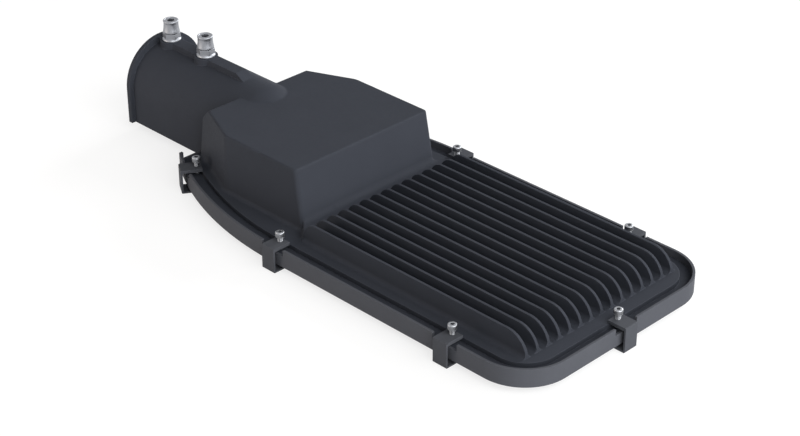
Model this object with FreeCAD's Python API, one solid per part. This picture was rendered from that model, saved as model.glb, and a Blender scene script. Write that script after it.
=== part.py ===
import FreeCAD, Part
import math
import os

# LED street light head for the end of a pole arm, in millimetres.
# X runs from the mouth of the pole socket to the light end, Z is up,
# and the origin is where the socket's axis meets its mouth.

# Pole socket
socket_radius = 31.0
socket_wall = 4.0
socket_depth = 86.0
socket_end_wall = 10.0
neck_length = 22.0
neck_rounding = 3.0
skirt_bottom = -29.2
skirt_gap = 1.3
crown_end = 129.5
mouth_flange_width = 4.0
mouth_flange_step = 3.8
mouth_flange_lift = 1.8

# Clamp pad on the crown of the socket
pad_top = 39.5
pad_half_width = 5.6
pad_front = 102.8
pad_slope_length = 10.0
clamp_screw_xs = (15.1, 59.0)
clamp_boss_radius = 9.8

# Outline of the head
head_rear = 91.3
head_front = 505.5
head_half_width = 103.1
front_corner_radius = 38.7
side_bend_x = 250.5
side_bend_radius = 310.0

# Rim frame round the head, seen from its lip down
rim_top = -16.8
rim_wall = 2.0
rim_wall_height = 14.4
rim_chamfer_height = 3.9
rim_chamfer_width = 6.8
rim_ledge_width = 5.0
rim_ledge_thickness = 2.0
window_inset = 15.0
rim_gap = 0.3

# Casting inside the rim: a channel, the plateau and the recess under it
channel_depth = 6.0
channel_width = 12.3
front_channel_width = 10.7
flange_thickness = 4.0
plateau_rise = 4.0
recess_inset = 15.0
roof_thickness = 3.5

# Driver bay on the plateau
bay_top = 29.7
bay_wall = 3.2
bay_half_width = 70.2
bay_front = 243.5
bay_shoulder = 163.5
bay_ridge = 123.5
bay_rear_knee = 108.5
bay_rear_knee_z = 16.5
bay_rear_foot = 98.5
bay_rear_rounding = 8.0
bay_flare = 0.4375
bay_side_draft = 1.2
bay_front_draft = 8.6
bay_shoulder_rounding = 14.0
bay_corner_rounding = 3.0
bay_top_rounding = 1.6
bay_foot_rounding = 3.2
bay_floor_rear = 112.0
bay_floor_top = -16.0

# Cooling fins and the step that they grow out of
fin_count = 15
fin_pitch = 11.226
fin_thickness = 2.0
fin_draft = 0.2
fin_top = -2.4
fin_rear_gap = 19.0
fin_front_gap = 22.0
fin_nose_length = 19.0
fin_nose_knee_share = 0.7
fin_nose_knee_rise = 0.7
fin_tail_length = 12.0
fin_tail_knee_share = 0.3
fin_tail_knee_rise = 0.68
fin_foot_rounding = 3.6
step_top = -12.0
step_rear_lead = 3.5
step_corner_inset = 3.2
step_flare_length = 14.5
step_slope = 1.0
step_rounding = 1.0
step_wall_rounding = 5.0

# Glass and gasket
glass_thickness = 4.0
gasket_thickness = 2.3
gasket_width = 8.7
seat_inset = 5.3

# C-shaped clips round the rim
clip_width = 13.0
clip_stand_off = 4.7
clip_reach = 16.2
clip_top_thickness = 2.6
clip_rise = 2.6
clip_sheet = 1.5
clip_rounding = 1.0
clip_screw_inset = 12.6
clip_notch_width = 23.0
clip_notch_depth = 5.0
front_clip_gap = 76.1
mid_clip_gap = 2.3
rear_clip_gap = 22.9
rear_clip_extra_turn = 5.0
rear_clip_extra_reach = 1.3

# Clip screws, M4 socket head cap
clip_screw_radius = 2.0
clip_screw_head_radius = 3.5
clip_screw_head_height = 4.0
clip_screw_length = 10.7
clip_screw_hex = 3.0
clip_screw_hex_depth = 2.2

# Clamp screws, M8 socket head cap, with flange nuts
clamp_screw_radius = 4.0
clamp_head_radius = 6.5
clamp_head_foot_radius = 7.0
clamp_head_height = 10.5
clamp_screw_length = 15.0
clamp_hex = 6.0
clamp_hex_depth = 5.0
nut_flange_radius = 7.9
nut_flange_height = 1.8
nut_across_flats = 13.0
nut_height = 6.7

# Light modules: a board with its chips under a lens plate
module_count = 3
module_side_gap = 12.1
module_gap = 2.0
module_front_gap = 23.5
module_rear_gap = 24.5
board_thickness = 1.6
lens_plate_thickness = 1.8
lens_rows = 2
lens_columns = 6
lens_length = 20.0
lens_width = 15.0
lens_height = 2.4
lens_bevel = 3.0
chip_size = 5.0
chip_thickness = 0.8
pocket_size = 7.0
pocket_depth = 1.1
module_screw_radius = 1.5
module_screw_head_radius = 2.8
module_screw_head_height = 1.6
module_screw_edge = 4.5
module_screw_bite = 2.5

# Gear tray that closes the driver bay from below
tray_thickness = 1.2
tray_overlap = 3.0
tray_gap = 1.0
tray_screw_radius = 2.0
tray_screw_head_radius = 3.8
tray_screw_head_height = 2.4
tray_screw_bite = 8.0
tray_boss_radius = 4.5
tray_screw_wall_gap = 9.2
tray_screw_front_gap = 5.5
tray_screw_middle_gap = 71.5
tray_screw_rear_x = 121.0
tray_screw_rear_y = 37.0

# LED driver on the tray
driver_front_gap = 15.5
driver_length = 80.0
driver_side_gap = 45.2
driver_height = 32.0
driver_ear_length = 9.0
driver_ear_thickness = 2.0
driver_groove_count = 5
driver_groove_width = 3.0
driver_groove_depth = 1.5

# Terminal block on the tray
terminal_front_gap = 29.5
terminal_wall_gap = 20.2
terminal_length = 36.0
terminal_width = 18.0
terminal_height = 18.0
terminal_poles = 3
terminal_shelf = 8.0
terminal_port_radius = 2.6

# Surge protector on the tray
surge_front_gap = 19.5
surge_wall_gap = 16.2
surge_length = 40.0
surge_width = 24.0
surge_height = 24.0
surge_ear_length = 8.0
surge_ear_thickness = 2.0

# Cord clamp on the tray
cord_clamp_x = 129.0
cord_clamp_span = 32.0
cord_clamp_width = 10.0
cord_clamp_thickness = 4.0
cord_clamp_arch = 5.0

# Small pan-head screws of the parts on the tray
small_screw_radius = 1.5
small_screw_head_radius = 3.0
small_screw_head_height = 2.0
small_screw_tail = 1.5

# Cable gland in the socket's end wall
gland_thread_radius = 10.0
gland_bore_radius = 5.5
gland_hex = 24.0
gland_hex_length = 7.0
gland_cap_radius = 11.0
gland_cap_length = 11.0
gland_cap_rounding = 3.0
gland_thread_length = 8.5
gland_nut_length = 5.0
gland_pocket_radius = 15.5
gland_pocket_depth = 6.0

# Free play round every screw
hole_play = 0.1

# Heights and widths that follow from the sizes above
skirt_end = head_rear - skirt_gap
fin_rear = bay_front + fin_rear_gap
fin_front = head_front - fin_front_gap
step_rear = bay_front + step_rear_lead
front_clip_x = head_front - front_clip_gap
mid_clip_x = side_bend_x + mid_clip_gap
rear_clip_x = head_rear + rear_clip_gap
module_rear = bay_front + module_rear_gap
module_front = head_front - module_front_gap
module_length = (module_front - module_rear - (module_count - 1) * module_gap) / module_count
module_half_width = head_half_width - recess_inset - module_side_gap
lens_row_pitch = module_length / lens_rows
lens_column_pitch = 2 * module_half_width / (lens_columns + 0.35)
driver_front = bay_front - driver_front_gap
driver_rear = driver_front - driver_length
driver_half_width = bay_half_width - driver_side_gap
terminal_x = bay_front - terminal_front_gap - terminal_length / 2
terminal_y = bay_half_width - terminal_wall_gap - terminal_width / 2
surge_x = bay_front - surge_front_gap - surge_length / 2
surge_y = surge_wall_gap + surge_width / 2 - bay_half_width
channel_floor = rim_top - channel_depth
plateau_top = channel_floor + plateau_rise
flange_bottom = channel_floor - flange_thickness
recess_roof = plateau_top - roof_thickness
glass_top = flange_bottom - gasket_thickness
glass_bottom = glass_top - glass_thickness
rim_bottom = glass_bottom - rim_ledge_thickness
collar_radius = socket_radius + socket_wall
clip_top = plateau_top + clip_rise
tray_top = recess_roof
tray_bottom = tray_top - tray_thickness
board_bottom = recess_roof - board_thickness
lens_plate_bottom = board_bottom - lens_plate_thickness


def vec(x, y, z):
    return FreeCAD.Vector(x, y, z)


def block(x0, x1, y0, y1, z0, z1):
    """A box between two corners."""
    return Part.makeBox(x1 - x0, y1 - y0, z1 - z0, vec(x0, y0, z0))


def rod_z(radius, x, y, z0, z1):
    return Part.makeCylinder(radius, z1 - z0, vec(x, y, z0))


def rod_x(radius, x0, x1):
    """A round bar on the socket's axis."""
    return Part.makeCylinder(radius, x1 - x0, vec(x0, 0, 0), vec(1, 0, 0))


def face_on(points):
    return Part.Face(Part.makePolygon(points + [points[0]]))


def prism_z(corners, z0, z1):
    """An upright prism on (x, y) corners."""
    points = [vec(x, y, z0) for x, y in corners]
    return face_on(points).extrude(vec(0, 0, z1 - z0))


def prism_y(corners, half_width):
    """A side profile of (x, z) corners, made as wide as given on both sides."""
    points = [vec(x, -half_width, z) for x, z in corners]
    return face_on(points).extrude(vec(0, 2 * half_width, 0))


def frustum(low, high):
    """A solid between two level polygons with the same number of corners."""
    low_wire = Part.makePolygon(low + [low[0]])
    high_wire = Part.makePolygon(high + [high[0]])
    return Part.makeLoft([low_wire, high_wire], True, True)


def hexagon_z(across_flats, x, y, z0, z1):
    corner = across_flats / math.sqrt(3)
    corners = []
    for step in range(6):
        angle = math.radians(60 * step)
        corners.append((x + corner * math.cos(angle), y + corner * math.sin(angle)))
    return prism_z(corners, z0, z1)


def hexagon_x(across_flats, x0, x1):
    """A six-sided bar on the socket's axis."""
    bar = hexagon_z(across_flats, 0, 0, 0, x1 - x0)
    bar.rotate(vec(0, 0, 0), vec(0, 1, 0), 90)
    bar.translate(vec(x0, 0, 0))
    return bar


def moved(shape, x, y, z):
    copy = shape.copy()
    copy.translate(vec(x, y, z))
    return copy


def joined(shapes):
    return shapes[0].fuse(shapes[1:]).removeSplitter()


def rounded(shape, radius, test):
    """Rounds the edges whose two ends pass the test."""
    chosen = []
    for edge in shape.Edges:
        first = edge.Vertexes[0].Point
        last = edge.Vertexes[-1].Point
        if test(first, last):
            chosen.append(edge)
    return shape.makeFillet(radius, chosen)


def eased(shape, radius, test):
    """Rounds the edges that pass the test, or leaves them sharp where the radius has no room."""
    try:
        eased_shape = rounded(shape, radius, test)
    except Exception:
        return shape
    if eased_shape.isValid():
        return eased_shape
    return shape


def near(value, target):
    return abs(value - target) < 0.01


# Outline of the head

def bend_y(x, inset):
    """Half the head's width at x, where its sides bend in towards the socket."""
    run = side_bend_x - x
    reach = side_bend_radius - inset
    return math.sqrt(reach ** 2 - run ** 2) - side_bend_radius + head_half_width


def outline(inset, front_inset, z):
    """The head's outline moved in: straight front and sides, bent towards the rear."""
    front = head_front - front_inset
    side = head_half_width - inset
    rear = head_rear + inset
    corner = front_corner_radius - inset
    corner_x = front - corner
    corner_y = side - corner
    diagonal = corner * math.sqrt(0.5)
    middle_x = (side_bend_x + rear) / 2
    rear_y = bend_y(rear, inset)
    edges = []
    for sign in (-1, 1):
        rear_corner = vec(rear, sign * rear_y, z)
        bend_middle = vec(middle_x, sign * bend_y(middle_x, inset), z)
        bend_start = vec(side_bend_x, sign * side, z)
        corner_start = vec(corner_x, sign * side, z)
        corner_middle = vec(corner_x + diagonal, sign * (corner_y + diagonal), z)
        corner_end = vec(front, sign * corner_y, z)
        edges.append(Part.Arc(rear_corner, bend_middle, bend_start).toShape())
        edges.append(Part.makeLine(bend_start, corner_start))
        edges.append(Part.Arc(corner_start, corner_middle, corner_end).toShape())
    edges.append(Part.makeLine(vec(front, -corner_y, z), vec(front, corner_y, z)))
    edges.append(Part.makeLine(vec(rear, -rear_y, z), vec(rear, rear_y, z)))
    return Part.Wire(Part.__sortEdges__(edges))


def slab(inset, z0, z1, front_inset=None):
    """The head's outline as a plate between two heights."""
    if front_inset is None:
        front_inset = inset
    return Part.Face(outline(inset, front_inset, z0)).extrude(vec(0, 0, z1 - z0))


# Casting

def horseshoe(radius, lift, bottom, x0, x1):
    """A bar on the socket's axis with a round top and straight sides."""
    left_foot = vec(x0, -radius, bottom)
    left_spring = vec(x0, -radius, lift)
    right_spring = vec(x0, radius, lift)
    right_foot = vec(x0, radius, bottom)
    arch = Part.Arc(left_spring, vec(x0, 0, lift + radius), right_spring).toShape()
    sides = [Part.makeLine(left_foot, left_spring), arch]
    sides += [Part.makeLine(right_spring, right_foot), Part.makeLine(right_foot, left_foot)]
    return Part.Face(Part.Wire(sides)).extrude(vec(x1 - x0, 0, 0))


def crown_bar(radius, start):
    """The rounded bar that carries the socket's crown on to the bay's roof."""
    bar = rod_x(radius, start, crown_end)
    nose = Part.makeSphere(radius, vec(crown_end, 0, 0))
    upper = block(start, crown_end + radius + 1, -radius - 1, radius + 1, bay_floor_top, radius + 1)
    return bar.fuse(nose).common(upper)


def clamp_pad():
    """The rib on the socket's crown, with a round boss for each clamp screw."""
    slope_end = pad_front + pad_slope_length
    profile = [(0, 0), (0, pad_top), (pad_front, pad_top), (slope_end, collar_radius - 1), (slope_end, 0)]
    pieces = [prism_y(profile, pad_half_width)]
    for x in clamp_screw_xs:
        pieces.append(rod_z(clamp_boss_radius, x, 0, 0, pad_top))
    return joined(pieces)


def collar():
    """The outside of the pole socket."""
    pieces = [horseshoe(collar_radius, 0, skirt_bottom, 0, skirt_end)]
    pieces.append(horseshoe(collar_radius, 0, flange_bottom, skirt_end, skirt_end + neck_length))
    pieces.append(rod_x(collar_radius, 0, skirt_end))
    flange_radius = collar_radius + mouth_flange_step
    pieces.append(horseshoe(flange_radius, mouth_flange_lift, skirt_bottom, 0, mouth_flange_width))
    pieces.append(clamp_pad())
    return pieces


def bay_plan(z, spread):
    """Corners of the driver bay's plan at a height, spread outward by an amount."""
    share = (bay_top - z) / (bay_top - plateau_top)
    side = bay_half_width + bay_side_draft * share + spread
    front = bay_front + bay_front_draft * share + spread
    rear = skirt_end
    rear_side = side - bay_flare * (bay_shoulder - rear)
    near_side = [vec(rear, -rear_side, z), vec(bay_shoulder, -side, z), vec(front, -side, z)]
    far_side = [vec(front, side, z), vec(bay_shoulder, side, z), vec(rear, rear_side, z)]
    return near_side + far_side


def behind_bay(clearance):
    """Everything behind the bay's rear wall and the slope above it, from a clearance inside them."""
    above = bay_top + 10
    ridge = bay_ridge + clearance * 0.4
    knee = bay_rear_knee + clearance
    foot = bay_rear_foot + clearance
    rear = skirt_end - 10
    corners = [(foot, flange_bottom), (knee, bay_rear_knee_z - clearance * 0.4)]
    corners += [(ridge, bay_top - clearance), (ridge, above), (rear, above), (rear, flange_bottom)]
    wedge = prism_y(corners, bay_half_width + 20)
    return rounded(wedge, bay_rear_rounding, lambda a, b: near(a.x, knee) and near(b.x, knee))


def bay_outside():
    """The driver bay's tapered block with its rounded edges."""
    shape = frustum(bay_plan(flange_bottom, 0), bay_plan(bay_top, 0))
    shape = rounded(shape, bay_shoulder_rounding,
                    lambda a, b: near(a.x, bay_shoulder) and near(b.x, bay_shoulder))
    front_top = bay_front - 0.01
    shape = rounded(shape, bay_corner_rounding,
                    lambda a, b: abs(a.z - b.z) > 20 and min(a.x, b.x) > front_top)
    shape = shape.cut(behind_bay(0))
    return rounded(shape, bay_top_rounding, lambda a, b: near(a.z, bay_top) and near(b.z, bay_top))


def step_plan():
    """Corners of the step's plan: it widens from the bay's front corners to the outer fins."""
    front = fin_rear + step_slope
    start = bay_half_width - step_corner_inset
    half = (fin_count - 1) / 2 * fin_pitch + fin_thickness / 2
    flare_end = step_rear + step_flare_length
    near_side = [(step_rear, -start), (flare_end, -half), (front, -half)]
    far_side = [(front, half), (flare_end, half), (step_rear, start)]
    return near_side + far_side


def at_step_wall(a, b):
    """The bay's front wall and corners, where they stand on the step."""
    level = near(a.z, step_top) and near(b.z, step_top)
    beside = max(abs(a.y), abs(b.y)) < bay_half_width + bay_side_draft + 1
    return level and beside and min(a.x, b.x) < fin_rear - 1


def at_step_flank(a, b):
    """The step's outer edges, from where the curve up the wall has come down to the step."""
    level = near(a.z, step_top) and near(b.z, step_top)
    outside = min(abs(a.y), abs(b.y)) > bay_half_width + bay_side_draft
    return level and outside and abs(a.y - b.y) < abs(a.x - b.x)


def step():
    """The raised step between the bay and the fins, with a hollow curve up the bay's front wall."""
    front = fin_rear + step_slope
    foot = plateau_top - 0.5
    rear = step_rear - 2 * step_wall_rounding
    profile = [(rear, foot), (rear, step_top), (fin_rear, step_top), (front, plateau_top), (front, foot)]
    ledge = joined([bay_outside(), prism_y(profile, head_half_width)])
    ledge = eased(ledge, step_wall_rounding, at_step_wall)
    shape = ledge.common(prism_z(step_plan(), foot, bay_top))
    return eased(shape, step_rounding, at_step_flank)


def fin():
    """One cooling fin in the middle: rounded at the front and sunk in the step behind."""
    foot = plateau_top - 0.5
    half_top = fin_thickness / 2
    half_base = half_top + fin_draft
    outer = half_base + fin_foot_rounding
    bend = fin_foot_rounding * (1 - math.sqrt(0.5))
    knee = plateau_top + fin_foot_rounding
    start = fin_rear - step_slope
    edges = []
    for sign in (-1, 1):
        tip = vec(start, sign * half_top, fin_top)
        side = vec(start, sign * half_base, knee)
        middle = vec(start, sign * (half_base + bend), plateau_top + bend)
        toe = vec(start, sign * outer, plateau_top)
        edges.append(Part.makeLine(tip, side))
        edges.append(Part.Arc(side, middle, toe).toShape())
        edges.append(Part.makeLine(toe, vec(start, sign * outer, foot)))
    edges.append(Part.makeLine(vec(start, -half_top, fin_top), vec(start, half_top, fin_top)))
    edges.append(Part.makeLine(vec(start, -outer, foot), vec(start, outer, foot)))
    section = Part.Face(Part.Wire(Part.__sortEdges__(edges))).extrude(vec(fin_front - start, 0, 0))
    side = -outer - 1
    tail_end = fin_rear + fin_tail_length
    tail_knee_x = fin_rear + fin_tail_length * fin_tail_knee_share
    tail_knee_z = step_top + (fin_top - step_top) * fin_tail_knee_rise
    nose_start = fin_front - fin_nose_length
    nose_knee_x = nose_start + fin_nose_length * fin_nose_knee_share
    nose_knee_z = plateau_top + (fin_top - plateau_top) * fin_nose_knee_rise
    front_foot = vec(fin_front, side, plateau_top)
    rear_foot = vec(fin_rear, side, step_top)
    below = [front_foot, vec(fin_front, side, foot), vec(start, side, foot)]
    below += [vec(start, side, step_top - 1), rear_foot]
    profile = [Part.makeLine(first, last) for first, last in zip(below, below[1:])]
    tail_top = vec(tail_end, side, fin_top)
    nose_top = vec(nose_start, side, fin_top)
    profile.append(Part.Arc(rear_foot, vec(tail_knee_x, side, tail_knee_z), tail_top).toShape())
    profile.append(Part.makeLine(tail_top, nose_top))
    profile.append(Part.Arc(nose_top, vec(nose_knee_x, side, nose_knee_z), front_foot).toShape())
    side_view = Part.Face(Part.Wire(profile)).extrude(vec(0, 2 * outer + 2, 0))
    return section.common(side_view)


def fins():
    shape = fin()
    shapes = []
    for index in range(fin_count):
        shapes.append(moved(shape, 0, (index - (fin_count - 1) / 2) * fin_pitch, 0))
    return shapes


def at_foot(a, b):
    """The bay's side walls and the step's flanks, where they stand on the plateau."""
    level = near(a.z, plateau_top) and near(b.z, plateau_top)
    lengthwise = abs(a.y - b.y) < abs(a.x - b.x)
    widest = step_plan()[-2][1] + 0.5
    return level and lengthwise and max(abs(a.y), abs(b.y)) < widest and max(a.x, b.x) < fin_rear + 0.1


def at_neck(a, b):
    """The sides of the socket at the bay's rear wall; the rounding runs on round the crown's nose."""
    upright = near(abs(a.y), collar_radius) and near(abs(b.y), collar_radius)
    return upright and abs(a.z - b.z) > 20 and min(a.x, b.x) > skirt_end + 1


def blended(body):
    """The casting's hollow roundings at the foot of the bay and round the neck."""
    body = eased(body, bay_foot_rounding, at_foot)
    return eased(body, neck_rounding, at_neck)


def tray_screw_places():
    """The screws of the gear tray: two in the bay's neck and four along its sides."""
    side = bay_half_width - tray_screw_wall_gap
    front = bay_front - tray_screw_front_gap
    middle = bay_front - tray_screw_middle_gap
    places = []
    for sign in (-1, 1):
        places.append((tray_screw_rear_x, sign * tray_screw_rear_y))
        places.append((middle, sign * side))
        places.append((front, sign * side))
    return places


def bay_inside():
    """The hollow of the driver bay, open below, with the tray's screw posts left standing."""
    ceiling = bay_top - bay_wall
    hollow = frustum(bay_plan(recess_roof, -bay_wall), bay_plan(ceiling, -bay_wall))
    hollow = hollow.cut(behind_bay(bay_wall))
    rear = socket_depth + socket_end_wall
    hollow = hollow.fuse(crown_bar(socket_radius, rear))
    wide = bay_half_width + 20
    keep = block(rear, head_front, -wide, wide, recess_roof - 1, ceiling + 20)
    floor = block(rear - 1, bay_floor_rear, -wide, wide, recess_roof - 2, bay_floor_top)
    hollow = hollow.common(keep).cut(floor)
    posts = []
    for x, y in tray_screw_places():
        posts.append(rod_z(tray_boss_radius, x, y, recess_roof - 1, ceiling + 20))
    return hollow.cut(posts)


def module_centres():
    pitch = module_length + module_gap
    return [module_rear + module_length / 2 + index * pitch for index in range(module_count)]


def module_screw_places():
    """The four screws of a module, about its middle."""
    x = module_length / 2 - module_screw_edge
    y = module_half_width - module_screw_edge
    return [(-x, -y), (-x, y), (x, -y), (x, y)]


def housing():
    """The one casting: socket, driver bay, fins, plateau and channel."""
    pieces = [slab(rim_wall + rim_gap, flange_bottom, channel_floor)]
    pieces.append(slab(channel_width, channel_floor - 1, plateau_top, front_channel_width))
    pieces.append(bay_outside())
    pieces.append(crown_bar(collar_radius, skirt_end))
    pieces += collar()
    pieces.append(step())
    body = joined([blended(joined(pieces))] + fins())
    cuts = [slab(recess_inset, flange_bottom - 1, recess_roof)]
    cuts.append(rod_x(socket_radius, -1, socket_depth))
    cuts.append(rod_x(gland_pocket_radius, socket_depth - 1, socket_depth + gland_pocket_depth))
    cuts.append(rod_x(gland_thread_radius + hole_play, socket_depth, socket_depth + socket_end_wall + 1))
    cuts.append(bay_inside())
    for x in clamp_screw_xs:
        cuts.append(rod_z(clamp_screw_radius + hole_play, x, 0, 0, pad_top + 1))
    for x, y in tray_screw_places():
        top = recess_roof + tray_screw_bite + 1
        cuts.append(rod_z(tray_screw_radius + hole_play, x, y, recess_roof - 1, top))
    for centre in module_centres():
        for x, y in module_screw_places():
            top = recess_roof + module_screw_bite + 0.3
            cuts.append(rod_z(module_screw_radius + hole_play, centre + x, y, recess_roof - 1, top))
    return body.cut(cuts).removeSplitter()


# Rim, gasket and glass

def bezel_frame():
    """The rim frame that carries the glass, notched where the clips reach over it."""
    rim_knee = rim_top - rim_wall_height
    upper = slab(0, rim_knee, rim_top)
    knee = outline(0, 0, rim_knee)
    heel = outline(rim_chamfer_width, rim_chamfer_width, rim_knee - rim_chamfer_height)
    lower = Part.makeLoft([heel, knee], True, True)
    body = joined([upper, lower])
    ledge_top = flange_bottom - rim_gap
    cuts = [slab(rim_wall, ledge_top, rim_top + 1)]
    cuts.append(slab(rim_ledge_width, glass_bottom, ledge_top + 1))
    cuts.append(slab(window_inset, rim_bottom - 1, glass_bottom + 1))
    rear_inside = head_rear + rim_ledge_width
    low_half = bend_y(head_rear, 0) - rim_wall - 0.8
    cuts.append(block(head_rear - 1, rear_inside, -low_half, low_half, channel_floor, rim_top + 1))
    neck = collar_radius + rim_gap
    cuts.append(block(head_rear - 1, rear_inside, -neck, neck, ledge_top, channel_floor + 1))
    for place in clip_places():
        notch = block(-rim_ledge_width, 2, -clip_notch_width / 2, clip_notch_width / 2,
                      rim_top - clip_notch_depth, rim_top + 1)
        cuts.append(placed(notch, place))
    return body.cut(cuts).removeSplitter()


def glass_gasket():
    outer = slab(seat_inset, glass_top, flange_bottom)
    return outer.cut(slab(seat_inset + gasket_width, glass_top - 1, flange_bottom + 1))


def glass_pane():
    return slab(seat_inset, glass_bottom, glass_top)


# Clips

def clip_places():
    """Name, outline point and outward angle of each clip."""
    bend_turn = math.degrees(math.asin((side_bend_x - rear_clip_x) / side_bend_radius))
    rear_turn = bend_turn + rear_clip_extra_turn
    rows = [("front", front_clip_x, head_half_width, 90), ("mid", mid_clip_x, head_half_width, 90)]
    rows.append(("rear", rear_clip_x, bend_y(rear_clip_x, 0), 90 + rear_turn))
    places = {"front_end": (head_front, 0, 0)}
    for name, x, y, angle in rows:
        places[name + "_left"] = (x, y, angle)
        places[name + "_right"] = (x, -y, -angle)
    return places


def placed(shape, place_name):
    """Takes a shape from the clips' own axes to a clip's place on the outline."""
    x, y, angle = clip_places()[place_name]
    copy = shape.copy()
    copy.rotate(vec(0, 0, 0), vec(0, 0, 1), angle)
    copy.translate(vec(x, y, 0))
    return copy


def clip_extra(name):
    """How much further in a clip reaches: the rear pair is a little longer."""
    if name.startswith("rear"):
        return rear_clip_extra_reach
    return 0


def clip(name):
    """A C-shaped clip in its place; its own X points out of the rim."""
    outer = clip_stand_off
    inner = clip_stand_off - clip_reach - clip_extra(name)
    bottom = rim_bottom - clip_sheet
    plate_bottom = clip_top - clip_top_thickness
    corners = [(inner, clip_top), (outer, clip_top), (outer, bottom), (inner, bottom)]
    corners += [(inner, rim_bottom), (outer - clip_sheet, rim_bottom)]
    corners += [(outer - clip_sheet, plate_bottom), (inner, plate_bottom)]
    shape = prism_y(corners, clip_width / 2)
    shape = rounded(shape, clip_rounding,
                    lambda a, b: near(a.x, outer) and near(b.x, outer) and near(a.z, b.z))
    screw_x = outer - clip_screw_inset - clip_extra(name)
    shape = shape.cut(rod_z(clip_screw_radius + hole_play, screw_x, 0, plate_bottom - 1, clip_top + 1))
    return placed(shape, name)


def cap_screw(radius, length, head_radius, head_foot_radius, head_height, hexagon, hexagon_depth):
    """A socket head cap screw that stands on its tip at the origin."""
    shank = rod_z(radius, 0, 0, 0, length)
    top = length + head_height
    if head_foot_radius == head_radius:
        head = rod_z(head_radius, 0, 0, length, top)
    else:
        head = Part.makeCone(head_foot_radius, head_radius, head_height, vec(0, 0, length))
    return shank.fuse(head).cut(hexagon_z(hexagon, 0, 0, top - hexagon_depth, top + 1))


def clip_screws():
    """The clips' screws, each with its tip on the casting's channel."""
    screw = cap_screw(clip_screw_radius, clip_screw_length, clip_screw_head_radius, clip_screw_head_radius,
                      clip_screw_head_height, clip_screw_hex, clip_screw_hex_depth)
    screws = []
    for name in clip_places():
        inward = clip_stand_off - clip_screw_inset - clip_extra(name)
        screws.append(placed(moved(screw, inward, 0, channel_floor), name))
    return Part.makeCompound(screws)


# Clamp screws of the socket

def clamp_screws():
    screw = cap_screw(clamp_screw_radius, clamp_screw_length, clamp_head_radius, clamp_head_foot_radius,
                      clamp_head_height, clamp_hex, clamp_hex_depth)
    tip = pad_top + nut_height + 0.3 - clamp_screw_length
    return Part.makeCompound([moved(screw, x, 0, tip) for x in clamp_screw_xs])


def clamp_nuts():
    flange = Part.makeCone(nut_flange_radius, nut_flange_radius - 0.6, nut_flange_height)
    nut = flange.fuse(hexagon_z(nut_across_flats, 0, 0, 0, nut_height))
    nut = nut.cut(rod_z(clamp_screw_radius + hole_play, 0, 0, -1, nut_height + 1))
    return Part.makeCompound([moved(nut, x, 0, pad_top) for x in clamp_screw_xs])


# Light modules

def lens_places():
    """The lenses of a module, about its middle."""
    places = []
    for row in range(lens_rows):
        for column in range(lens_columns):
            x = (row - (lens_rows - 1) / 2) * lens_row_pitch
            y = (column - (lens_columns - 1) / 2) * lens_column_pitch
            places.append((x, y))
    return places


def lens_plan(x, y, inset, z):
    """A long octagon round a lens's middle."""
    half_x = lens_length / 2 - inset
    half_y = lens_width / 2 - inset
    cut_x = half_x * 0.55
    cut_y = half_y * 0.45
    corners = [(half_x, -cut_y), (half_x, cut_y), (cut_x, half_y), (-cut_x, half_y)]
    corners += [(-half_x, cut_y), (-half_x, -cut_y), (-cut_x, -half_y), (cut_x, -half_y)]
    return [vec(x + dx, y + dy, z) for dx, dy in corners]


def module_holes(bottom, top):
    radius = module_screw_radius + hole_play
    return [rod_z(radius, x, y, bottom - 1, top + 1) for x, y in module_screw_places()]


def led_board():
    half = module_length / 2
    board = block(-half, half, -module_half_width, module_half_width, board_bottom, recess_roof)
    return board.cut(module_holes(board_bottom, recess_roof))


def led_chips():
    half = chip_size / 2
    bottom = board_bottom - chip_thickness
    chips = [block(x - half, x + half, y - half, y + half, bottom, board_bottom) for x, y in lens_places()]
    return Part.makeCompound(chips)


def lens_plate():
    half = module_length / 2
    plate = block(-half, half, -module_half_width, module_half_width, lens_plate_bottom, board_bottom)
    lenses = []
    pockets = []
    for x, y in lens_places():
        low = lens_plan(x, y, lens_bevel, lens_plate_bottom - lens_height)
        high = lens_plan(x, y, 0, lens_plate_bottom)
        lenses.append(frustum(low, high))
        side = pocket_size / 2
        pocket_top = board_bottom - pocket_depth
        pockets.append(block(x - side, x + side, y - side, y + side, pocket_top, board_bottom + 1))
    plate = joined([plate] + lenses)
    return plate.cut(pockets + module_holes(lens_plate_bottom, board_bottom))


def pan_screw(radius, length, head_radius, head_height):
    """A screw that points up, with its head hanging below the origin."""
    shank = rod_z(radius, 0, 0, 0, length)
    return shank.fuse(Part.makeCone(head_radius * 0.8, head_radius, head_height, vec(0, 0, -head_height)))


def module_screws():
    length = board_thickness + lens_plate_thickness + module_screw_bite
    screw = pan_screw(module_screw_radius, length, module_screw_head_radius, module_screw_head_height)
    screws = []
    for centre in module_centres():
        for x, y in module_screw_places():
            screws.append(moved(screw, centre + x, y, lens_plate_bottom))
    return Part.makeCompound(screws)


# Gear tray and what stands on it

def ear_screw_places(x, y, length, ear_length):
    """The two screws in the ears of a part on the tray."""
    reach = length / 2 + ear_length / 2
    return [(x - reach, y), (x + reach, y)]


def driver_middle():
    return (driver_rear + driver_front) / 2


def driver_screw_places():
    length = driver_front - driver_rear
    half = driver_half_width / 2
    near_side = ear_screw_places(driver_middle(), -half, length, driver_ear_length)
    return near_side + ear_screw_places(driver_middle(), half, length, driver_ear_length)


def surge_screw_places():
    return ear_screw_places(surge_x, surge_y, surge_length, surge_ear_length)


def terminal_screw_places():
    reach = terminal_length / 2 - terminal_length / terminal_poles / 2
    return [(terminal_x - reach, terminal_y), (terminal_x + reach, terminal_y)]


def cord_clamp_screw_places():
    reach = cord_clamp_span / 2 - small_screw_head_radius - 0.5
    return [(cord_clamp_x, -reach), (cord_clamp_x, reach)]


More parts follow.
